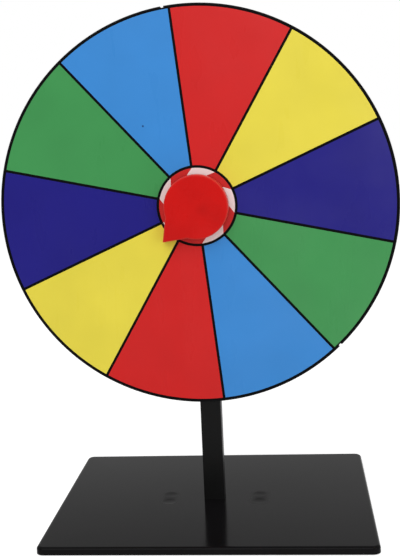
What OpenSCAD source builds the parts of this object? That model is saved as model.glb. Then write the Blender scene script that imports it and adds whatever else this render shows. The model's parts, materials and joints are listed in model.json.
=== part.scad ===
// Tabletop carnival game wheel: a coloured wheel on two ball bearings, a turnable
// red pointer at its centre, and a square post on a pressed steel base.
// Millimetres. +Z is up, the wheel faces -Y, and the origin is on the floor
// under the middle of the base.

/* [Wheel] */
// Diameter of the wheel over its rim band
wheel_d = 300; // [240:5:360]
// Thickness of the wheel board
board_t = 6; // [5:0.1:10]
// Thickness of the band round the board's edge
band_t = 1.2; // [0.8:0.01:2]
// Width of the two open seams in the band
seam_gap = 2.4; // [1:0.01:4]
// Thickness of the coloured film panels
panel_t = 0.4; // [0.2:0.01:0.8]
// Width of the black line between neighbouring panels
line_w = 2.0; // [1:0.01:3]
// Black margin between the panels and the band
rim_margin = 1.3; // [0.4:0.01:2]
// Direction of the first sector line at rest, in degrees from the right, counterclockwise
first_line = 23.6; // [0:0.1:35.9]

/* [Centre field] */
// Diameter of the ring where the sector panels end
field_d = 61; // [56:0.5:80]
// Diameter of the circle that the slanting stripe edges would touch
swirl_d = 38; // [32:0.5:45]

/* [Pointer] */
// Diameter of the pointer's round cap
pointer_d = 48; // [46:0.5:55]
// Distance from the axle to the pointer's tip
pointer_reach = 36.4; // [34:0.2:48]
// Angle between the two sides of the tip
tip_angle = 73; // [50:1:80]
// Thickness of the cap
pointer_t = 10; // [5:0.2:16]
// Thickness of the cap's front skin
pointer_skin = 1.6; // [1:0.1:2]
// Radius of the cap's rounded front edge
pointer_edge_r = 1.4; // [0.6:0.1:2]
// Gap between the cap and the wheel's face
pointer_gap = 1.5; // [0.5:0.1:3]
// Direction of the tip at rest, in degrees from the right, counterclockwise
pointer_turn = 224.8; // [0:0.2:360]

/* [Hub and bearings] */
// Bore of the ball bearings, which is also the axle's diameter
bearing_bore = 8; // [6:1:10]
// Outside diameter of the ball bearings
bearing_d = 22; // [20:1:26]
// Width of one bearing
bearing_w = 7; // [6:0.5:9]
// Distance between the two bearings
bearing_space = 12; // [4:0.5:30]
// Number of balls in a bearing
ball_count = 7; // [6:1:8]
// Wall of the hub round the bearings
hub_wall = 6; // [4:0.5:9]
// Diameter of the hub's flange
flange_d = 66; // [60:1:80]
// Thickness of the hub's flange
flange_t = 3; // [2:0.5:5]

/* [Post] */
// Width of the square post
post_w = 16.5; // [15:0.5:24]
// Wall of the post
post_wall = 1.2; // [1:0.1:2]
// Corner radius of the post
post_corner_r = 1.5; // [1:0.1:2.5]
// Gap between the wheel's rim and the base
wheel_gap = 92; // [30:0.5:180]
// Height of the post above the axle
post_over = 22; // [18:1:60]

/* [Base] */
// Width of the base
base_w = 250; // [200:5:360]
// Depth of the base
base_d = 200; // [140:5:300]
// Height of the base tray
base_h = 5.5; // [5:0.5:14]
// Sheet thickness of the tray
sheet_t = 1.6; // [1.2:0.1:2]
// Corner radius of the tray, seen from above
base_corner_r = 6; // [4:0.5:20]
// Radius of the tray's rounded top edge
base_edge_r = 2.4; // [2.2:0.1:3.5]
// Length of the stiffening bar under the tray
bar_w = 110; // [90:5:160]
// Depth of the stiffening bar
bar_d = 40; // [34:1:60]
// Thickness of the stiffening bar
bar_t = 3; // [3:0.5:4]
// Distance between the spot welds, left to right
weld_span_x = 73; // [50:1:80]
// Distance between the spot welds, front to back
weld_span_y = 14; // [8:1:18]
// Distance from the post's middle forward to the middle of the welds
weld_forward = 5; // [-6:0.5:6]
// Diameter of a rubber foot
foot_d = 16; // [10:1:24]
// How far the feet stand out below the tray
foot_gap = 0.7; // [0.5:0.1:3]
// Distance from the tray's sides to the middle of a foot
foot_inset = 22; // [18:1:40]

/* [Hidden] */
$fn = 96;

// Clearances
fit_gap = 0.05;         // between pieces that are pushed or screwed together
run_gap = 0.05;         // between a shaft and what turns on it
swing_gap = 1.2;        // between the pointer's boss and the board's hole
ring_side_gap = 0.15;   // beside the friction ring in its groove
sleeve_end_gap = 0.4;   // between the sleeve nut's end and the cap's skin
axle_end_gap = 1;       // between the axle's end and the sleeve nut's end
screw_tip_gap = 0.5;    // past a hub screw's tip, in its blind hole
stripe_end_gap = 0.2;   // between the stripes and the place where their edges meet
eps = 0.01;             // overshoot of a cut past a face

// Colours
black_paint = [0.10, 0.10, 0.11];
black_board = [0.04, 0.04, 0.045];
black_plastic = [0.07, 0.07, 0.075];
rubber_black = [0.05, 0.05, 0.05];
zinc = [0.72, 0.73, 0.74];
bearing_steel = [0.80, 0.81, 0.83];
cage_brass = [0.72, 0.58, 0.30];
stripe_white = [0.92, 0.86, 0.85];
stripe_red = [0.75, 0.14, 0.13];
pointer_red = [0.80, 0.11, 0.09];
sector_names_of_colours = ["yellow", "red", "sky", "green", "navy"];
sector_colours = [[0.91, 0.84, 0.31], [0.82, 0.16, 0.16], [0.25, 0.55, 0.82],
                  [0.27, 0.58, 0.33], [0.15, 0.14, 0.50]];

// Names of the repeated pieces
round_count = 2;
colour_count = len(sector_colours);
sector_count = round_count * colour_count;
sector_angle = 360 / sector_count;
sector_names = [for (i = [0 : sector_count - 1])
    str("sector_", sector_names_of_colours[i % colour_count], "_", 1 + floor(i / colour_count))];
foot_sides = [["front", -1], ["back", 1]];
foot_ends = [["left", -1], ["right", 1]];
foot_names = [for (s = foot_sides, e = foot_ends) str("foot_", s[0], "_", e[0])];
foot_places = [for (s = foot_sides, e = foot_ends)
    [e[1] * (base_w / 2 - foot_inset), s[1] * (base_d / 2 - foot_inset)]];

// Every piece of the wheel

// Heights above the floor
tray_top = foot_gap + base_h;
tray_under = tray_top - sheet_t;
bar_under = tray_under - bar_t;
axle_h = tray_top + wheel_gap + wheel_d / 2;
post_top = axle_h + post_over;

// Proportions of a ball bearing: the ball fills this share of the space between bore and
// outside, and the others are shares of the ball's radius
ball_share = 0.28;
shoulder_share = 0.74;
cage_t_share = 0.26;
cage_w_share = 1.4;

// Radii round the axle
axle_r = bearing_bore / 2;
pitch_r = (bearing_d + bearing_bore) / 4;
ball_r = ball_share * (bearing_d - bearing_bore) / 2;
race_r = ball_r + run_gap;
inner_ring_r = pitch_r - shoulder_share * ball_r;
outer_ring_r = pitch_r + shoulder_share * ball_r;
cage_half_t = cage_t_share * ball_r;
cage_half_w = cage_w_share * ball_r;
sleeve_r = inner_ring_r - fit_gap;
ring_cord_r = 0.75;
ring_seat_depth = 0.9;
ring_r = sleeve_r - ring_seat_depth + ring_cord_r;
ring_seat_half_w = ring_cord_r + ring_side_gap;
boss_wall = 1.6;
boss_bore_r = sleeve_r + run_gap;
boss_r = ring_r + ring_cord_r + boss_wall;
board_hole_r = boss_r + swing_gap;
hub_r = bearing_d / 2 + hub_wall;
board_r = wheel_d / 2 - band_t;
panel_r = board_r - rim_margin;
field_r = field_d / 2;
stripe_r = field_r - line_w;
stripe_in_r = swirl_d / 2 / cos(sector_angle / 2) + stripe_end_gap;

// Usual proportions of a bolt, nut and washer, as shares of the thread's diameter
hex_share = 1.625;
head_share = 0.66;
jam_nut_share = 0.5;
washer_share = 0.2;
hex_across = hex_share * bearing_bore;
head_t = head_share * bearing_bore;
jam_nut_t = jam_nut_share * bearing_bore;
washer_r = bearing_bore;
washer_t = washer_share * bearing_bore;

// Screws
post_screw_r = 3;
post_screw_head_r = 6;
post_screw_short = 6;
hub_screw_r = 1.75;
hub_screw_head_r = 3.6;
hub_screw_head_t = 2.4;
hub_screw_count = 4;
hub_screw_ring_r = (hub_r + flange_d / 2) / 2;
hub_screw_skin = 1.5;

// Distances forward from the middle of the post, along the axle
post_front = post_w / 2;
jam_nut_back = post_front + washer_t;
shim_back = jam_nut_back + jam_nut_t;
shim_t = 2;
rear_bearing_back = shim_back + shim_t;
spacer_back = rear_bearing_back + bearing_w;
front_bearing_back = spacer_back + bearing_space;
board_back = front_bearing_back + bearing_w;
board_front = board_back + board_t;
face = board_front + panel_t;
pointer_back = face + pointer_gap;
pointer_front = pointer_back + pointer_t;
skin_back = pointer_front - pointer_skin;
sleeve_front = skin_back - sleeve_end_gap;
axle_front = sleeve_front - axle_end_gap;
boss_setback = 0.6;
boss_back = board_back + boss_setback;
ring_lip = 0.9;
ring_at = boss_back + ring_lip + ring_seat_half_w;
head_back = -post_front - washer_t - head_t;

// Places a piece that is drawn with the axle along +Z, forwards, onto the axle
module on_axle(forward = 0) {
    translate([0, 0, axle_h]) rotate([90, 0, 0]) translate([0, 0, forward]) children();
}

// Round bar or tube along +Z
module tube(outer_r, inner_r, length) {
    difference() {
        cylinder(r = outer_r, h = length);
        translate([0, 0, -eps]) cylinder(r = inner_r, h = length + 2 * eps);
    }
}

// Hexagon of a bolt head or nut along +Z, with its front corners chamfered
module hexagon(across, thickness) {
    corner_r = across / 2 / cos(30);
    chamfer = corner_r - across / 2;
    intersection() {
        rotate([0, 0, 30]) cylinder(r = corner_r, h = thickness, $fn = 6);
        rotate_extrude() polygon([[0, 0], [corner_r, 0], [corner_r, thickness - chamfer / 2],
                                  [corner_r - chamfer, thickness], [0, thickness]]);
    }
}

// Square with round corners, centred
module rounded_square(width, depth, corner_r) {
    square([width - 2 * corner_r, depth], center = true);
    square([width, depth - 2 * corner_r], center = true);
    for (x = [-1, 1], y = [-1, 1])
        translate([x * (width / 2 - corner_r), y * (depth / 2 - corner_r)]) circle(corner_r);
}

// Slab with upright round corners and a rounded top edge, standing on z = 0
module rounded_slab(width, depth, height, corner_r, edge_r) {
    hull() {
        for (x = [-1, 1], y = [-1, 1])
            translate([x * (width / 2 - corner_r), y * (depth / 2 - corner_r), 0]) {
                cylinder(r = corner_r, h = height - edge_r, $fn = 32);
                translate([0, 0, height - edge_r])
                    rotate_extrude($fn = 32) intersection() {
                        square([corner_r, edge_r]);
                        union() {
                            square([corner_r - edge_r, edge_r]);
                            translate([corner_r - edge_r, 0]) circle(edge_r, $fn = 32);
                        }
                    }
            }
    }
}

// Pressed steel tray, open below, with shallow dents over the spot welds
module base_tray() {
    dent_sphere_r = 60;
    dent_depth = 0.25;
    color(black_paint) difference() {
        translate([0, 0, foot_gap])
            rounded_slab(base_w, base_d, base_h, base_corner_r, base_edge_r);
        translate([0, 0, foot_gap - eps])
            rounded_slab(base_w - 2 * sheet_t, base_d - 2 * sheet_t, base_h - sheet_t + eps,
                         base_corner_r - sheet_t, base_edge_r - sheet_t);
        for (x = [-1, 1], y = [-1, 1])
            translate([x * weld_span_x / 2, y * weld_span_y / 2 - weld_forward,
                       tray_top + dent_sphere_r - dent_depth])
                sphere(dent_sphere_r);
        translate([0, 0, tray_under - eps]) cylinder(r = post_screw_r + fit_gap, h = sheet_t + 2 * eps);
    }
}

// Flat steel bar welded under the tray, countersunk for the post's screw
module base_stiffener() {
    bar_corner_r = 4;
    color(black_paint) translate([0, 0, bar_under]) difference() {
        linear_extrude(bar_t) rounded_square(bar_w, bar_d, bar_corner_r);
        translate([0, 0, -eps]) cylinder(r = post_screw_r + fit_gap, h = bar_t + 2 * eps);
        translate([0, 0, -eps])
            cylinder(r1 = post_screw_head_r + fit_gap + eps, r2 = post_screw_r + fit_gap,
                     h = post_screw_head_r - post_screw_r + eps);
    }
}

// One rubber bumper, stuck under the tray's top
module foot(place) {
    chamfer = 0.6;
    color(rubber_black) translate([place.x, place.y, 0])
        rotate_extrude() polygon([[0, 0], [foot_d / 2 - chamfer, 0], [foot_d / 2, chamfer],
                                  [foot_d / 2, tray_under], [0, tray_under]]);
}

// Square steel tube with a hole for the axle
module post_tube() {
    color(black_paint) difference() {
        translate([0, 0, tray_top]) linear_extrude(post_top - tray_top) difference() {
            rounded_square(post_w, post_w, post_corner_r);
            square(post_w - 2 * post_wall, center = true);
        }
        on_axle(-post_w) cylinder(r = axle_r + fit_gap, h = 2 * post_w);
    }
}

// Threaded block in the foot of the post
insert_h = 30;
insert_w = post_w - 2 * post_wall - 2 * fit_gap;
module post_insert() {
    color(zinc) translate([0, 0, tray_top]) difference() {
        linear_extrude(insert_h) square(insert_w, center = true);
        translate([0, 0, -eps]) cylinder(r = post_screw_r + fit_gap, h = insert_h + 2 * eps);
    }
}

// Countersunk screw that clamps the post to the base from below
module post_screw() {
    head = post_screw_head_r - post_screw_r;
    socket_across = 4;
    socket_depth = 1.8;
    length = tray_top + insert_h - post_screw_short - bar_under;
    color(zinc) translate([0, 0, bar_under]) difference() {
        union() {
            cylinder(r1 = post_screw_head_r, r2 = post_screw_r, h = head);
            cylinder(r = post_screw_r, h = length);
        }
        translate([0, 0, -eps]) cylinder(r = socket_across / 2 / cos(30), h = socket_depth + eps, $fn = 6);
    }
}

// Plastic plug that closes the top of the post
module post_top_plug() {
    cap_t = 2.5;
    cap_chamfer = 1;
    stem = 9;
    color(black_plastic) translate([0, 0, post_top]) {
        hull() {
            linear_extrude(cap_t - cap_chamfer) square(post_w, center = true);
            linear_extrude(cap_t) square(post_w - 2 * cap_chamfer, center = true);
        }
        translate([0, 0, -stem]) linear_extrude(stem + eps)
            square(post_w - 2 * post_wall - 2 * fit_gap, center = true);
    }
}

// Hexagon bolt through the post, on which everything turns
module axle_bolt() {
    color(zinc) {
        on_axle(-post_front - washer_t) mirror([0, 0, 1]) hexagon(hex_across, head_t);
        on_axle(head_back + head_t / 2) cylinder(r = axle_r, h = axle_front - head_back - head_t / 2);
    }
}

module axle_washer(back) {
    color(zinc) on_axle(back) tube(washer_r, axle_r + fit_gap, washer_t);
}

module axle_jam_nut() {
    color(zinc) on_axle(jam_nut_back) difference() {
        hexagon(hex_across, jam_nut_t);
        translate([0, 0, -eps]) cylinder(r = axle_r + fit_gap, h = jam_nut_t + 2 * eps);
    }
}

// Plain collar on the axle that touches only the inner rings
module axle_collar(back, length) {
    color(zinc) on_axle(back) tube(sleeve_r, axle_r + fit_gap, length);
}

// Inner ring of a ball bearing, with its groove
module inner_ring(back) {
    color(bearing_steel) on_axle(back) rotate_extrude() difference() {
        translate([axle_r + fit_gap, 0]) square([inner_ring_r - axle_r - fit_gap, bearing_w]);
        translate([pitch_r, bearing_w / 2]) circle(race_r);
    }
}

// Outer ring of a ball bearing, with its groove
module outer_ring(back) {
    color(bearing_steel) on_axle(back) rotate_extrude() difference() {
        translate([outer_ring_r, 0]) square([bearing_d / 2 - fit_gap - outer_ring_r, bearing_w]);
        translate([pitch_r, bearing_w / 2]) circle(race_r);
    }
}

module balls(back) {
    color(bearing_steel) on_axle(back + bearing_w / 2)
        for (i = [0 : ball_count - 1])
            rotate([0, 0, i * 360 / ball_count]) translate([pitch_r, 0, 0]) sphere(ball_r);
}

// Ring that keeps the balls apart
module cage(back) {
    color(cage_brass) on_axle(back + bearing_w / 2) difference() {
        translate([0, 0, -cage_half_w]) tube(pitch_r + cage_half_t, pitch_r - cage_half_t, 2 * cage_half_w);
        for (i = [0 : ball_count - 1])
            rotate([0, 0, i * 360 / ball_count]) translate([pitch_r, 0, 0]) cube(2 * race_r, center = true);
    }
}

// Round nut that clamps the bearings and carries the pointer
module axle_sleeve_nut() {
    length = sleeve_front - board_back;
    slot_w = 1.6;
    slot_depth = 1.2;
    color(zinc) on_axle(board_back) difference() {
        tube(sleeve_r, axle_r + fit_gap, length);
        translate([0, 0, ring_at - board_back]) rotate_extrude()
            translate([sleeve_r - ring_seat_depth, -ring_seat_half_w])
                square([2 * ring_seat_depth, 2 * ring_seat_half_w]);
        translate([0, 0, length]) cube([3 * sleeve_r, slot_w, 2 * slot_depth], center = true);
    }
}

// Rubber ring that holds the pointer where it is turned to
module friction_ring() {
    color(rubber_black) on_axle(ring_at)
        rotate_extrude() translate([ring_r, 0]) circle(ring_cord_r - fit_gap);
}

// Round board with its bearing hole and blind holes for the hub's screws
module wheel_board() {
    color(black_board) on_axle(board_back) difference() {
        tube(board_r, board_hole_r, board_t);
        hub_screw_ring() translate([0, 0, -eps])
            cylinder(r = hub_screw_r + fit_gap, h = board_t - hub_screw_skin + eps);
    }
}

// Edge band in two lengths, which meet at open seams just past two sector lines
seam_lines = [2, 8];
seam_offset = 2;
seam_half = seam_gap / wheel_d * 180 / PI;
seam_angles = [for (n = seam_lines) first_line + n * sector_angle + seam_offset];
module rim_band(from, to) {
    color(black_plastic) on_axle(board_back) rotate([0, 0, from + seam_half])
        rotate_extrude(angle = to - from - 2 * seam_half)
            translate([board_r + fit_gap, 0]) square([band_t - fit_gap, board_t + panel_t]);
}

// Coloured film panel, with half a line's width left free on each side
module sector_panel(i) {
    apex = line_w / 2 / sin(sector_angle / 2);
    far = 2 * wheel_d;
    color(sector_colours[i % colour_count]) on_axle(board_front)
        rotate([0, 0, first_line + (i + 0.5) * sector_angle]) linear_extrude(panel_t) intersection() {
            difference() {
                circle(panel_r);
                circle(field_r);
            }
            polygon([[apex, 0],
                     [apex + far * cos(sector_angle / 2), -far * sin(sector_angle / 2)],
                     [apex + far * cos(sector_angle / 2), far * sin(sector_angle / 2)]]);
        }
}

// Everything past one straight edge that touches the swirl circle
module beyond_swirl() {
    reach = 2 * field_d;
    translate([swirl_d / 2, -reach]) square([reach, 2 * reach]);
}

// Slanting stripes round the centre, each between two such edges
module stripes(first, paint) {
    start = acos(swirl_d / 2 / stripe_r);
    color(paint) on_axle(board_front) linear_extrude(panel_t)
        for (i = [first : 2 : sector_count - 1])
            rotate([0, 0, first_line + i * sector_angle + start]) intersection() {
                difference() {
                    circle(stripe_r);
                    circle(stripe_in_r);
                }
                difference() {
                    beyond_swirl();
                    rotate([0, 0, sector_angle]) beyond_swirl();
                }
            }
}

module hub_screw_ring() {
    for (i = [0 : hub_screw_count - 1])
        rotate([0, 0, (i + 0.5) * 360 / hub_screw_count]) translate([hub_screw_ring_r, 0, 0]) children();
}

// Flanged hub with a bearing seat at each end
module hub_housing() {
    seat_r = bearing_d / 2;
    shoulder_r = outer_ring_r;
    chamfer = 1;
    root = 2;
    flange_r = flange_d / 2;
    front = board_back - rear_bearing_back;
    flange_back = front - flange_t;
    color(black_plastic) on_axle() difference() {
        translate([0, 0, rear_bearing_back]) rotate_extrude() polygon([
            [seat_r, 0], [hub_r - chamfer, 0], [hub_r, chamfer],
            [hub_r, flange_back - root], [hub_r + root, flange_back],
            [flange_r - chamfer, flange_back], [flange_r, flange_back + chamfer],
            [flange_r, front], [seat_r, front],
            [seat_r, front - bearing_w], [shoulder_r, front - bearing_w],
            [shoulder_r, bearing_w], [seat_r, bearing_w]]);
        hub_screw_ring() translate([0, 0, board_back - flange_t - eps])
            cylinder(r = hub_screw_r + fit_gap, h = flange_t + 2 * eps);
    }
}

// Four short dome-headed screws with crossed slots, from the flange into the board
module hub_screws() {
    dome_r = 6;
    slot_l = 4;
    slot_w = 0.9;
    slot_depth = 1.3;
    color(zinc) on_axle(board_back - flange_t) hub_screw_ring() difference() {
        union() {
            intersection() {
                translate([0, 0, -hub_screw_head_t]) cylinder(r = hub_screw_head_r, h = hub_screw_head_t);
                translate([0, 0, dome_r - hub_screw_head_t]) sphere(dome_r);
            }
            translate([0, 0, -eps])
                cylinder(r = hub_screw_r, h = flange_t + board_t - hub_screw_skin - screw_tip_gap);
        }
        for (turn = [0, 90])
            rotate([0, 0, turn]) translate([0, 0, -hub_screw_head_t])
                cube([slot_l, slot_w, 2 * slot_depth], center = true);
    }
}

// Flat triangle of the pointer's tip, drawn in by a margin on its two free sides
module tip_outline(margin) {
    half = tip_angle / 2;
    inner_x = pointer_d / 4;
    tip_x = pointer_reach - margin / sin(half);
    inner_y = (tip_x - inner_x) * tan(half);
    polygon([[tip_x, 0], [inner_x, inner_y], [inner_x, -inner_y]]);
}

// Red cap with a pointed tip; its boss turns on the sleeve nut
module pointer() {
    cap_r = pointer_d / 2;
    rim_wall = 2;
    hollow = pointer_t - pointer_skin;
    color(pointer_red) on_axle() rotate([0, 0, pointer_turn]) difference() {
        union() {
            translate([0, 0, pointer_back]) {
                rotate_extrude() {
                    square([cap_r, pointer_t - pointer_edge_r]);
                    square([cap_r - pointer_edge_r, pointer_t]);
                    translate([cap_r - pointer_edge_r, pointer_t - pointer_edge_r]) circle(pointer_edge_r);
                }
                hull() {
                    linear_extrude(pointer_t - pointer_edge_r) tip_outline(0);
                    linear_extrude(pointer_t) tip_outline(pointer_edge_r);
                }
            }
            translate([0, 0, boss_back])
                cylinder(r = boss_r, h = pointer_front - pointer_skin / 2 - boss_back);
        }
        translate([0, 0, pointer_back - eps]) tube(cap_r - rim_wall, boss_r, hollow + eps);
        translate([0, 0, boss_back - eps]) cylinder(r = boss_bore_r, h = skin_back - boss_back + eps);
        translate([0, 0, ring_at]) rotate_extrude() translate([0, -ring_seat_half_w])
            square([ring_r + ring_cord_r + run_gap, 2 * ring_seat_half_w]);
    }
}

base_tray();
base_stiffener();
post_tube();
post_insert();
post_screw();
post_top_plug();
for (i = [0 : len(foot_names) - 1])
    foot(foot_places[i]);
axle_bolt();
axle_washer(-post_front - washer_t);  // axle_rear_washer
axle_washer(post_front);  // axle_front_washer
axle_jam_nut();
axle_collar(shim_back, shim_t);  // rear_shim
inner_ring(rear_bearing_back);  // rear_inner_ring
axle_collar(spacer_back, bearing_space);  // bearing_spacer
inner_ring(front_bearing_back);  // front_inner_ring
axle_sleeve_nut();
friction_ring();
wheel_board();
rim_band(seam_angles[0], seam_angles[1]);  // rim_band_long
rim_band(seam_angles[1], seam_angles[0] + 360);  // rim_band_short
for (i = [0 : sector_count - 1])
    sector_panel(i);
stripes(0, stripe_red);  // stripes_red
stripes(1, stripe_white);  // stripes_white
hub_housing();
hub_screws();
outer_ring(rear_bearing_back);  // rear_outer_ring
outer_ring(front_bearing_back);  // front_outer_ring
balls(rear_bearing_back);  // rear_balls
cage(rear_bearing_back);  // rear_cage
balls(front_bearing_back);  // front_balls
cage(front_bearing_back);  // front_cage
pointer();
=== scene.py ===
import json
import math

import bpy
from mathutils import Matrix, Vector


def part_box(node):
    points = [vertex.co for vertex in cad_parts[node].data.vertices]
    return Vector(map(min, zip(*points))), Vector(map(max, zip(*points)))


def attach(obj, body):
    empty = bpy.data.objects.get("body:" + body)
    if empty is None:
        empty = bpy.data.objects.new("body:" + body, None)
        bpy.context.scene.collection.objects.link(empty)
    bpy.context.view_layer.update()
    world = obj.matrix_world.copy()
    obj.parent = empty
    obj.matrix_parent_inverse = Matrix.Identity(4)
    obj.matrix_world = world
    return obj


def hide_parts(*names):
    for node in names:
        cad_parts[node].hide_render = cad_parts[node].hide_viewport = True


# A tabletop carnival game wheel: coloured film sectors on a black board, a red pointer cap at the
# centre, a square post and a pressed steel base. Metres, the wheel faces -Y, the floor is at z = 0.

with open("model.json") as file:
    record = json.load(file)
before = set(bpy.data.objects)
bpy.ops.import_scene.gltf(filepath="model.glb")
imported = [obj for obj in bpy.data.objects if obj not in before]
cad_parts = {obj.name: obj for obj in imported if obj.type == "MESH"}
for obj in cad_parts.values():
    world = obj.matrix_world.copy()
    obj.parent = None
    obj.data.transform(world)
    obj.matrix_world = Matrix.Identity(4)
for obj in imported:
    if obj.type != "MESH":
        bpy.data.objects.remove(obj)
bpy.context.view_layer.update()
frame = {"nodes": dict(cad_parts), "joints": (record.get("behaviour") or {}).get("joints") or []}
nodes = frame["nodes"]

MM = 0.001

# How far off a plane or circle a point may lie and still count as on it
HAIR = 0.01 * MM

# How squarely a face points along an axis to count as facing that way, 1 being exactly
FACING = 0.9

# Places that the construction gives
TRAY_LOW, TRAY_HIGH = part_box("base_tray")
POST_LOW, POST_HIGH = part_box("post_tube")
PLUG_LOW, PLUG_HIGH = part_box("post_top_plug")
FACE_Y, BOARD_BACK_Y = (corner.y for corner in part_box("rim_band_long"))
CAP_FRONT_Y, BOSS_BACK_Y = (corner.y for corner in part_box("pointer"))
AXLE_Z = next(joint["pos_m"][2] for joint in frame["joints"] if joint["name"] == "wheel_spin")
AXLE = Vector((0, 0, AXLE_Z))

# Sizes and places that no box of the construction gives
WHEEL_R = 149.97 * MM
WELD_SPAN_X = 73 * MM
WELD_SPAN_Y = 14 * MM
WELD_FORWARD = 5 * MM
WELDS = [Vector((side * WELD_SPAN_X / 2, end * WELD_SPAN_Y / 2 - WELD_FORWARD, TRAY_HIGH.z))
         for side in (-1, 1) for end in (-1, 1)]
SEAMS = (math.radians(97.6), math.radians(313.6))
HALF_SEAM = math.radians(0.458)
INK_FLECK = (-37.9 * MM, FACE_Y, AXLE_Z + 61.1 * MM)

# Where nearly all values of a noise texture lie
NOISE_LOW = 0.3
NOISE_HIGH = 0.7

# Sockets of the mix node that take its share and two colours, and the one that gives the mixed colour
MIX_SHARE = 0
MIX_UNDER = 6
MIX_OVER = 7
MIX_RESULT = 2


def screen_colour(red, green, blue):
    """A colour as it looks on a screen, 0 to 255, turned into shader values."""
    out = []
    for level in (red, green, blue):
        level = level / 255
        out.append(level / 12.92 if level <= 0.04045 else ((level + 0.055) / 1.055) ** 2.4)
    return (*out, 1)


def toned(colour, share):
    """The same colour made darker by a share below 1, or lighter by one above it."""
    return (*(level * share for level in colour[:3]), 1)


# Modelling steps

def clear_selection():
    bpy.ops.object.select_all(action="DESELECT")


def make_active(piece):
    clear_selection()
    piece.select_set(True)
    bpy.context.view_layer.objects.active = piece


def settle(piece):
    """Puts the piece's place into its mesh, so that its object sits at the origin."""
    make_active(piece)
    bpy.ops.object.transform_apply(location=True, rotation=True, scale=True)


def pick(piece, kind, test):
    """Selects the faces, edges or corners that pass the test, and stays in edit mode."""
    make_active(piece)
    bpy.ops.object.mode_set(mode="EDIT")
    bpy.ops.mesh.select_mode(type=kind)
    bpy.ops.mesh.select_all(action="DESELECT")
    bpy.ops.object.mode_set(mode="OBJECT")
    mesh = piece.data
    if kind == "FACE":
        for face in mesh.polygons:
            face.select = test(face.center, face.normal)
    elif kind == "EDGE":
        for edge in mesh.edges:
            ends = [mesh.vertices[i].co for i in edge.vertices]
            edge.select = test(ends[0], ends[1])
    else:
        for corner in mesh.vertices:
            corner.select = test(corner.co)
    bpy.ops.object.mode_set(mode="EDIT")


def leave_edit():
    bpy.ops.object.mode_set(mode="OBJECT")


def round_edges(piece, radius, segments, test):
    pick(piece, "EDGE", test)
    bpy.ops.mesh.bevel(offset=radius, segments=segments, affect="EDGES")
    leave_edit()


def push_face(piece, margin, travel, test):
    """Leaves a margin round the picked face and pushes the rest of it in or out."""
    pick(piece, "FACE", test)
    bpy.ops.mesh.inset(thickness=margin)
    bpy.ops.mesh.extrude_region_move(TRANSFORM_OT_translate={"value": travel})
    leave_edit()


def smooth(piece, degrees):
    make_active(piece)
    bpy.ops.object.shade_smooth_by_angle(angle=math.radians(degrees))


def combine(piece, tool, operation):
    """Cuts the tool shape out of the piece, or joins the two into one skin."""
    step = piece.modifiers.new("step", "BOOLEAN")
    step.operation = operation
    step.solver = "EXACT"
    step.object = tool
    make_active(piece)
    bpy.ops.object.modifier_apply(modifier="step")
    bpy.data.objects.remove(tool)


def stand_for(piece, body, slot, *names):
    """Makes the piece move with a body in the place of CAD nodes. The slot argument is not used."""
    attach(piece, body)
    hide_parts(*names)


def press_base_tray():
    """Steel tray with round corners and a rolled top edge, hollow below, dented over the spot welds."""
    wide, deep, high = TRAY_HIGH - TRAY_LOW
    sheet, corner_r, edge_r, steps = 1.6 * MM, 6 * MM, 2.4 * MM, 30
    dent_r, dent_depth = 60 * MM, 0.25 * MM
    screw_hole_r, drill_depth = 3.05 * MM, 4 * MM
    clear_selection()
    bpy.ops.mesh.primitive_cube_add(size=1, location=(TRAY_LOW + TRAY_HIGH) / 2)
    tray = bpy.context.object
    tray.name = "tray_pressing"
    tray.scale = (wide, deep, high)
    settle(tray)
    round_edges(tray, corner_r, steps, lambda a, b: abs(a.z - b.z) > high / 2)
    round_edges(tray, edge_r, steps, lambda a, b: min(a.z, b.z) > TRAY_HIGH.z - HAIR)
    push_face(tray, sheet, (0, 0, high - sheet), lambda centre, normal: normal.z < -FACING)
    for weld in WELDS:
        clear_selection()
        bpy.ops.mesh.primitive_uv_sphere_add(segments=96, ring_count=240, radius=dent_r,
                                             location=weld + Vector((0, 0, dent_r - dent_depth)))
        combine(tray, bpy.context.object, "DIFFERENCE")
    clear_selection()
    bpy.ops.mesh.primitive_cylinder_add(vertices=48, radius=screw_hole_r, depth=drill_depth,
                                        location=(0, 0, TRAY_HIGH.z - sheet / 2))
    combine(tray, bpy.context.object, "DIFFERENCE")
    smooth(tray, degrees=4)
    stand_for(tray, "stand", "base_paint", "base_tray")
    return tray


def mould_post_plug():
    """Soft-edged plastic plug: a square cap over the tube's end, with its stem inside."""
    wide = POST_HIGH.x - POST_LOW.x
    cap, stem = PLUG_HIGH.z - POST_HIGH.z, POST_HIGH.z - PLUG_LOW.z
    corner_r, edge_r, steps, shoulder = 1.5 * MM, 1.2 * MM, 8, 1.25 * MM
    clear_selection()
    bpy.ops.mesh.primitive_cube_add(size=1, location=(0, 0, POST_HIGH.z + cap / 2))
    plug = bpy.context.object
    plug.name = "post_plug"
    plug.scale = (wide, wide, cap)
    settle(plug)
    round_edges(plug, corner_r, steps, lambda a, b: abs(a.z - b.z) > cap / 2)
    round_edges(plug, edge_r, steps, lambda a, b: min(a.z, b.z) > PLUG_HIGH.z - HAIR)
    push_face(plug, shoulder, (0, 0, -stem), lambda centre, normal: normal.z < -FACING)
    smooth(plug, degrees=14)
    stand_for(plug, "stand", "black_plastic", "post_top_plug")
    return plug


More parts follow.
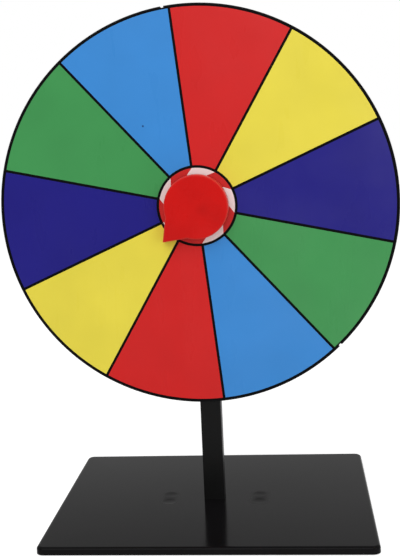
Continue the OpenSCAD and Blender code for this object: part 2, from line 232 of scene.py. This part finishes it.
def bend_rim_band(name, node, start, end):
    """Edge band: a strip's section with soft outer corners, swept round the board."""
    thick, corner_r, corner_steps, degrees_per_step = 1.12 * MM, 0.45 * MM, 4, 2
    middle_r = WHEEL_R - thick / 2
    middle_y = (BOARD_BACK_Y + FACE_Y) / 2
    sweep = end - start
    clear_selection()
    bpy.ops.mesh.primitive_plane_add(size=1, location=(0, 0, 0))
    band = bpy.context.object
    band.name = name
    band.scale = (thick, BOARD_BACK_Y - FACE_Y, 1)
    settle(band)
    pick(band, "VERT", lambda point: point.x > 0)
    bpy.ops.mesh.bevel(offset=corner_r, segments=corner_steps, affect="VERTICES")
    leave_edit()
    band.rotation_euler = (0, -start, 0)
    band.location = (middle_r * math.cos(start), middle_y, AXLE_Z + middle_r * math.sin(start))
    settle(band)
    pick(band, "FACE", lambda centre, normal: True)
    steps = round(math.degrees(sweep) / degrees_per_step)
    bpy.ops.mesh.spin(steps=steps, angle=sweep, center=AXLE, axis=(0, 1, 0))
    bpy.ops.mesh.select_all(action="SELECT")
    bpy.ops.mesh.normals_make_consistent(inside=False)
    leave_edit()
    smooth(band, degrees=30)
    stand_for(band, "wheel", "rim_band", node)
    return band


def bore_pointer_boss(skin):
    """Boss behind the pointer's front skin, bored to turn on the axle's nut, grooved for the rubber ring."""
    boss_r, bore_r, groove_r = 8.2 * MM, 6.05 * MM, 6.65 * MM
    lead_in, groove_w = 0.9 * MM, 1.8 * MM
    bore_rest = BOSS_BACK_Y - CAP_FRONT_Y - skin - lead_in - groove_w
    boss_front = CAP_FRONT_Y + skin / 2
    clear_selection()
    bpy.ops.mesh.primitive_cylinder_add(vertices=96, radius=boss_r, depth=BOSS_BACK_Y - boss_front,
                                        location=(0, (BOSS_BACK_Y + boss_front) / 2, AXLE_Z),
                                        rotation=(math.radians(90), 0, 0))
    boss = bpy.context.object
    settle(boss)
    push_face(boss, boss_r - bore_r, (0, -lead_in, 0), lambda centre, normal: normal.y > FACING)
    pick(boss, "FACE", lambda centre, normal: normal.y > FACING and (centre - AXLE).xz.length < bore_r)
    widen = groove_r / bore_r
    for share, depth in ((widen, groove_w), (1 / widen, bore_rest)):
        bpy.ops.mesh.extrude_region_move(TRANSFORM_OT_translate={"value": (0, 0, 0)})
        bpy.ops.transform.resize(value=(share, 1, share), center_override=AXLE)
        bpy.ops.mesh.extrude_region_move(TRANSFORM_OT_translate={"value": (0, -depth, 0)})
    leave_edit()
    return boss


def mould_pointer():
    """Red cap: a disc drawn out to one sharp tip, its front edge rounded, hollow behind, with a boss."""
    cap_r, reach, half_tip = 24 * MM, 36.4 * MM, math.radians(36.5)
    turn = math.radians(224.8)
    thick, skin, wall, draw_out = 10 * MM, 1.6 * MM, 2 * MM, 6 * MM
    edge_r, edge_steps, flat = 1.4 * MM, 10, math.radians(0.5)
    front_y, back_y = CAP_FRONT_Y, CAP_FRONT_Y + thick
    side_gap = reach * math.sin(half_tip)
    spread = math.radians(90) - half_tip - math.acos(side_gap / cap_r)
    tip = Vector((math.cos(turn), 0, math.sin(turn)))
    clear_selection()
    bpy.ops.mesh.primitive_cylinder_add(vertices=180, radius=cap_r, depth=thick,
                                        location=(0, (front_y + back_y) / 2, AXLE_Z),
                                        rotation=(math.radians(90), math.radians(90) - turn, 0))
    cap = bpy.context.object
    cap.name = "pointer_cap"
    settle(cap)

    def off_tip(point):
        arm = point - AXLE
        arm.y = 0
        return arm.angle(tip)

    pick(cap, "FACE", lambda centre, normal: abs(normal.y) < FACING and off_tip(centre) < spread)
    bpy.ops.mesh.extrude_region_move(TRANSFORM_OT_translate={"value": tip * draw_out})
    for level in (front_y, back_y):
        leave_edit()
        middle = AXLE + Vector((0, level, 0))
        bpy.context.scene.cursor.location = middle + tip * reach
        pick(cap, "VERT", lambda point: abs(point.y - level) < HAIR
             and (point - middle).length > cap_r + HAIR)
        bpy.ops.mesh.merge(type="CURSOR")
    bpy.ops.mesh.select_mode(type="FACE")
    bpy.ops.mesh.select_all(action="SELECT")
    bpy.ops.mesh.dissolve_limited(angle_limit=flat)
    leave_edit()
    round_edges(cap, edge_r, edge_steps, lambda a, b: max(a.y, b.y) < front_y + HAIR)
    push_face(cap, wall, (0, skin - thick, 0), lambda centre, normal: normal.y > FACING)
    combine(cap, bore_pointer_boss(skin), "UNION")
    smooth(cap, degrees=12)
    stand_for(cap, "pointer", "pointer_red", "pointer")
    return cap


# Finishes

def joined(tree, operation, first, second):
    """Makes two values into one: their sum, their product or the greater of them."""
    step = tree.nodes.new("ShaderNodeMath")
    step.operation = operation
    tree.links.new(first, step.inputs[0])
    tree.links.new(second, step.inputs[1])
    return step.outputs[0]


class Finish:
    """A node material with its shader, and the few steps that every finish here uses."""

    def __init__(self, name, specular, metal=0.0):
        self.material = bpy.data.materials.new(name)
        self.material.use_nodes = True
        self.tree = self.material.node_tree
        self.nodes = self.tree.nodes
        self.links = self.tree.links
        self.shader = self.nodes["Principled BSDF"]
        self.shader.inputs["Specular IOR Level"].default_value = specular
        self.shader.inputs["Metallic"].default_value = metal
        self.place = self.nodes.new("ShaderNodeTexCoord").outputs["Object"]

    def noise(self, per_metre, detail, stretch=None):
        """Clouds, about so many to the metre, drawn out along an axis whose stretch is below 1."""
        texture = self.nodes.new("ShaderNodeTexNoise")
        texture.inputs["Scale"].default_value = per_metre
        texture.inputs["Detail"].default_value = detail
        place = self.place
        if stretch:
            mapping = self.nodes.new("ShaderNodeMapping")
            mapping.inputs["Scale"].default_value = stretch
            self.links.new(place, mapping.inputs["Vector"])
            place = mapping.outputs["Vector"]
        self.links.new(place, texture.inputs["Vector"])
        return texture.outputs["Fac"]

    def tones(self, source, dark, light):
        """A colour that goes from dark to light as the source rises."""
        ramp = self.nodes.new("ShaderNodeValToRGB")
        first, last = ramp.color_ramp.elements
        first.position, first.color = NOISE_LOW, dark
        last.position, last.color = NOISE_HIGH, light
        self.links.new(source, ramp.inputs["Fac"])
        return ramp.outputs["Color"]

    def span(self, source, low, high, from_low=NOISE_LOW, from_high=NOISE_HIGH):
        """Stretches or squeezes the source's range to run from low to high."""
        scale = self.nodes.new("ShaderNodeMapRange")
        scale.inputs["From Min"].default_value = from_low
        scale.inputs["From Max"].default_value = from_high
        scale.inputs["To Min"].default_value = low
        scale.inputs["To Max"].default_value = high
        self.links.new(source, scale.inputs["Value"])
        return scale.outputs["Result"]

    def lay_over(self, share, under, over):
        """Lays the over colour on the under colour where the share is high."""
        mix = self.nodes.new("ShaderNodeMix")
        mix.data_type = "RGBA"
        self.links.new(share, mix.inputs[MIX_SHARE])
        self.links.new(under, mix.inputs[MIX_UNDER])
        if isinstance(over, bpy.types.NodeSocket):
            self.links.new(over, mix.inputs[MIX_OVER])
        else:
            mix.inputs[MIX_OVER].default_value = over
        return mix.outputs[MIX_RESULT]

    def along(self, axis):
        """How far along one axis a point of the piece lies, in metres."""
        split = self.nodes.new("ShaderNodeSeparateXYZ")
        self.links.new(self.place, split.inputs["Vector"])
        return split.outputs[axis]

    def near(self, point, radius, soft):
        """1 within a radius of a point on the piece, fading to 0."""
        gap = self.nodes.new("ShaderNodeVectorMath")
        gap.operation = "DISTANCE"
        gap.inputs[1].default_value = point
        self.links.new(self.place, gap.inputs[0])
        return self.span(gap.outputs["Value"], low=1, high=0, from_low=radius, from_high=radius + soft)

    def colour(self, source):
        self.links.new(source, self.shader.inputs["Base Color"])

    def gloss(self, source):
        self.links.new(source, self.shader.inputs["Roughness"])

    def relief(self, source, height, strength):
        bump = self.nodes.new("ShaderNodeBump")
        bump.inputs["Distance"].default_value = height
        bump.inputs["Strength"].default_value = strength
        self.links.new(source, bump.inputs["Height"])
        self.links.new(bump.outputs["Normal"], self.shader.inputs["Normal"])


def film_with_painted_sheen(name, colour, fleck=None):
    """Glossy wipe-clean film: nearly even ink, a pale painted sheen in patches that grows towards the right,
    a slight ripple.
    """
    film = Finish(name, specular=0.12)
    ink = film.tones(film.noise(22, detail=2), toned(colour, 0.96), toned(colour, 1.04))
    if fleck:
        spot = film.near(fleck, radius=0.5 * MM, soft=0.4 * MM)
        ink = film.lay_over(spot, ink, screen_colour(20, 50, 100))
    # Painted sheen: a pale veil over the ink, in uneven patches and stronger towards the right, standing in
    # for light reflected by the gloss
    sheen_patches = film.span(film.noise(14, detail=4), low=0.2, high=1)
    sheen_to_the_right = film.span(film.along("X"), low=0.005, high=0.045, from_low=-0.02, from_high=0.15)
    painted_sheen = joined(film.tree, "MULTIPLY", sheen_patches, sheen_to_the_right)
    film.colour(film.lay_over(painted_sheen, ink, screen_colour(196, 190, 196)))
    film.gloss(film.span(film.noise(60, detail=4, stretch=(1, 1, 0.25)), low=0.24, high=0.38))
    film.relief(film.noise(260, detail=2), height=0.02 * MM, strength=0.6)
    return film.material


def moulded_red(name, colour):
    """Moulded red plastic: a painted highlight, paler red, on the rounded edge and sides; painted shade
    where a faint sink mark lies in front.
    """
    plastic = Finish(name, specular=0.1)
    tone = plastic.tones(plastic.noise(45, detail=3), toned(colour, 0.94), toned(colour, 1.05))
    # Painted shade: the red is darkened in a soft spot where a faint sink mark dips
    sink_mark = (5 * MM, CAP_FRONT_Y, AXLE_Z - 2 * MM)
    sunk = plastic.near(sink_mark, radius=1.5 * MM, soft=5 * MM)
    painted_sink_shade = plastic.span(sunk, low=0, high=0.28, from_low=0, from_high=1)
    tone = plastic.lay_over(painted_sink_shade, tone, toned(colour, 0.62))
    # Painted highlight: the rounded edge and the sides behind the front face are made paler red
    highlight_front, highlight_back = CAP_FRONT_Y + 0.05 * MM, CAP_FRONT_Y + 0.7 * MM
    edge = plastic.span(plastic.along("Y"), low=0, high=0.8, from_low=highlight_front, from_high=highlight_back)
    plastic.colour(plastic.lay_over(edge, tone, screen_colour(232, 76, 66)))
    plastic.gloss(plastic.span(plastic.noise(70, detail=4), low=0.22, high=0.36))
    plastic.relief(plastic.noise(300, detail=2), height=0.02 * MM, strength=0.5)
    return plastic.material


def satin_paint(name, colour, specular, rough, welds=()):
    """Baked satin paint: fine orange peel, a slow change of tone, dusty patches, duller over each weld."""
    paint = Finish(name, specular)
    paint.colour(paint.tones(paint.noise(14, detail=4), toned(colour, 0.85), toned(colour, 1.15)))
    dullness = paint.span(paint.noise(35, detail=5), rough[0], rough[1])
    for weld in welds:
        spot = paint.near(weld, radius=4 * MM, soft=8 * MM)
        duller = paint.span(spot, low=0, high=0.24, from_low=0, from_high=1)
        dullness = joined(paint.tree, "ADD", dullness, duller)
    paint.gloss(dullness)
    paint.relief(paint.noise(900, detail=2), height=0.01 * MM, strength=0.5)
    return paint.material


def board_black(name):
    """Black lacquer on fibre board: deep and even in front, greyer and streaked by the roller behind."""
    lacquer = Finish(name, specular=0.03)
    clouds = lacquer.noise(40, detail=4)
    front = lacquer.tones(clouds, screen_colour(7, 7, 8), screen_colour(12, 11, 12))
    streaks = lacquer.noise(90, detail=5, stretch=(1, 1, 0.08))
    rolled = lacquer.tones(streaks, screen_colour(27, 26, 26), screen_colour(40, 39, 38))
    fade_start, fade_end = BOARD_BACK_Y - 1.2 * MM, BOARD_BACK_Y - 0.2 * MM
    behind = lacquer.span(lacquer.along("Y"), low=0, high=1, from_low=fade_start, from_high=fade_end)
    lacquer.colour(lacquer.lay_over(behind, front, rolled))
    lacquer.gloss(lacquer.span(lacquer.noise(80, detail=4), low=0.42, high=0.58))
    lacquer.relief(lacquer.noise(1500, detail=3), height=0.02 * MM, strength=0.6)
    return lacquer.material


def banding_black(name):
    """Black plastic edge band, drawn through a die: deep black with fine lines along it."""
    band = Finish(name, specular=0.05)
    clouds = band.noise(60, detail=3)
    band.colour(band.tones(clouds, screen_colour(8, 8, 9), screen_colour(14, 13, 14)))
    band.gloss(band.span(band.noise(120, detail=3), low=0.32, high=0.46))
    band.relief(band.noise(1800, detail=2, stretch=(0.1, 1, 0.1)), height=0.015 * MM, strength=0.5)
    return band.material


def moulded_black(name):
    """Moulded black plastic with a fine spark grain."""
    plastic = Finish(name, specular=0.25)
    clouds = plastic.noise(60, detail=3)
    plastic.colour(plastic.tones(clouds, screen_colour(14, 14, 15), screen_colour(22, 22, 23)))
    plastic.gloss(plastic.span(plastic.noise(300, detail=3), low=0.4, high=0.55))
    plastic.relief(plastic.noise(2200, detail=2), height=0.03 * MM, strength=0.7)
    return plastic.material


def foot_rubber(name):
    """Dull black rubber with a dusty bloom."""
    rubber = Finish(name, specular=0.2)
    bloom = rubber.noise(90, detail=4)
    rubber.colour(rubber.tones(bloom, screen_colour(18, 18, 18), screen_colour(32, 31, 30)))
    rubber.gloss(rubber.span(rubber.noise(200, detail=3), low=0.7, high=0.9))
    rubber.relief(rubber.noise(1800, detail=2), height=0.03 * MM, strength=0.7)
    return rubber.material


def turned_metal(name, light, dark, rough):
    """Plated or ground metal: fine turning marks along the axle and a cloudy gloss."""
    metal = Finish(name, specular=0.5, metal=1.0)
    metal.colour(metal.tones(metal.noise(120, detail=4), dark, light))
    metal.gloss(metal.span(metal.noise(400, detail=3), rough[0], rough[1]))
    metal.relief(metal.noise(2500, detail=2, stretch=(1, 0.15, 1)), height=0.01 * MM, strength=0.5)
    return metal.material


def dress(material, *pieces):
    for piece in pieces:
        piece.data.materials.clear()
        piece.data.materials.append(material)


def cad(*names):
    """The CAD nodes that stay as they are and only get a finish."""
    return [nodes[name] for name in names]


# Making and dressing the pieces

FILM_INKS = {
    "yellow": screen_colour(224, 208, 70),
    "red": screen_colour(200, 31, 30),
    "sky": screen_colour(57, 132, 203),
    "green": screen_colour(61, 141, 77),
    "navy": screen_colour(25, 20, 119),
}

tray = press_base_tray()
plug = mould_post_plug()
cap = mould_pointer()
long_band = bend_rim_band("edge_band_long", "rim_band_long", SEAMS[0] + HALF_SEAM, SEAMS[1] - HALF_SEAM)
short_band = bend_rim_band("edge_band_short", "rim_band_short", SEAMS[1] + HALF_SEAM,
                           SEAMS[0] + math.radians(360) - HALF_SEAM)

for ink_name, ink in FILM_INKS.items():
    film = film_with_painted_sheen("film_" + ink_name, ink, fleck=INK_FLECK if ink_name == "sky" else None)
    dress(film, *cad("sector_%s_1" % ink_name, "sector_%s_2" % ink_name))
dress(film_with_painted_sheen("stripe_film_red", screen_colour(193, 36, 33)), *cad("stripes_red"))
# A near-white film; its pink tint is painted light, red bounced off the pointer's wall onto the stripes
dress(film_with_painted_sheen("stripe_film_white", screen_colour(230, 213, 211)), *cad("stripes_white"))
dress(moulded_red("pointer_plastic", screen_colour(195, 16, 13)), cap)
dress(board_black("board_lacquer"), *cad("wheel_board"))
dress(banding_black("edge_band_plastic"), long_band, short_band)
dress(moulded_black("moulded_plastic"), plug, *cad("hub_housing"))
dress(foot_rubber("rubber"), *cad("foot_front_left", "foot_front_right", "foot_back_left", "foot_back_right",
                                  "friction_ring"))
dress(turned_metal("zinc_plating", light=screen_colour(205, 207, 210), dark=screen_colour(176, 178, 182),
                   rough=(0.28, 0.4)),
      *cad("post_insert", "post_screw", "axle_bolt", "axle_rear_washer", "axle_front_washer", "axle_jam_nut",
           "rear_shim", "bearing_spacer", "axle_sleeve_nut", "hub_screws"))
dress(turned_metal("ground_steel", light=screen_colour(214, 216, 220), dark=screen_colour(198, 200, 205),
                   rough=(0.1, 0.2)),
      *cad("rear_inner_ring", "front_inner_ring", "rear_outer_ring", "front_outer_ring", "rear_balls",
           "front_balls"))
dress(turned_metal("cage_brass", light=screen_colour(206, 178, 112), dark=screen_colour(184, 152, 90),
                   rough=(0.25, 0.38)),
      *cad("rear_cage", "front_cage"))
dress(satin_paint("post_paint", screen_colour(12, 12, 12), specular=0.11, rough=(0.35, 0.48)),
      *cad("post_tube"))
dress(satin_paint("tray_paint", screen_colour(17, 16, 17), specular=0.032, rough=(0.09, 0.16), welds=WELDS),
      tray, *cad("base_stiffener"))

# Floor, light and camera

def seen_directly(tree):
    """1 for rays that show the background: straight, mirrored or through something clear."""
    ray = tree.nodes.new("ShaderNodeLightPath")
    share = ray.outputs["Is Camera Ray"]
    for kind in ("Is Glossy Ray", "Is Transmission Ray"):
        share = joined(tree, "MAXIMUM", share, ray.outputs[kind])
    return share


TABLE_SIZE = 12
TABLE_DROP = 0.1 * MM
TABLE_GLOW = 0.66
WORLD_FILL = 0.37
WORLD_WHITE = 1.0

clear_selection()
bpy.ops.mesh.primitive_plane_add(size=TABLE_SIZE, location=(0, 0, -TABLE_DROP))
floor = bpy.context.object
floor.name = "table_top"
paper = Finish("white_table", specular=0.1)
paper_clouds = paper.noise(3, detail=2)
paper.colour(paper.tones(paper_clouds, screen_colour(238, 238, 238), screen_colour(242, 242, 242)))
paper.gloss(paper.span(paper.noise(20, detail=2), low=0.8, high=0.9))
paper.shader.inputs["Emission Color"].default_value = (1, 1, 1, 1)
paper_light = paper.span(seen_directly(paper.tree), low=0, high=TABLE_GLOW, from_low=0, from_high=1)
paper.links.new(paper_light, paper.shader.inputs["Emission Strength"])
floor.data.materials.append(paper.material)

world = bpy.data.worlds.new("white_studio")
bpy.context.scene.world = world
world.use_nodes = True
studio = world.node_tree
backing = studio.nodes["Background"]
backing.inputs["Color"].default_value = (1, 1, 1, 1)
level = studio.nodes.new("ShaderNodeMapRange")
level.inputs["To Min"].default_value = WORLD_FILL
level.inputs["To Max"].default_value = WORLD_WHITE
studio.links.new(seen_directly(studio), level.inputs["Value"])
studio.links.new(level.outputs["Result"], backing.inputs["Strength"])


def softbox(name, place, aim, size, watts):
    """A square lamp, aimed at a point."""
    lamp = bpy.data.lights.new(name, "AREA")
    lamp.energy = watts
    lamp.size = size
    holder = bpy.data.objects.new(name, lamp)
    bpy.context.scene.collection.objects.link(holder)
    holder.location = place
    holder.rotation_euler = (Vector(aim) - Vector(place)).to_track_quat("-Z", "Y").to_euler()


softbox("key_softbox", place=(-0.35, -1.5, 1.4), aim=(0, -0.05, 0.2), size=1.6, watts=20.5)
softbox("side_softbox", place=(0.95, -0.95, 0.45), aim=(0, -0.05, 0.22), size=0.8, watts=4.4)

lens = bpy.data.cameras.new("photo_camera")
lens.lens = 63.77
lens.sensor_width = 36
lens.shift_x = 0.0097
lens.shift_y = -0.1219
lens.clip_start = 0.01
eye = bpy.data.objects.new("photo_camera", lens)
bpy.context.scene.collection.objects.link(eye)
eye.location = (0.06935, -0.78208, 0.309)
eye.rotation_euler = [math.radians(degrees) for degrees in (84.9889, 2.5191, 5.3272)]
bpy.context.scene.camera = eye
bpy.context.scene.view_settings.view_transform = "Standard"
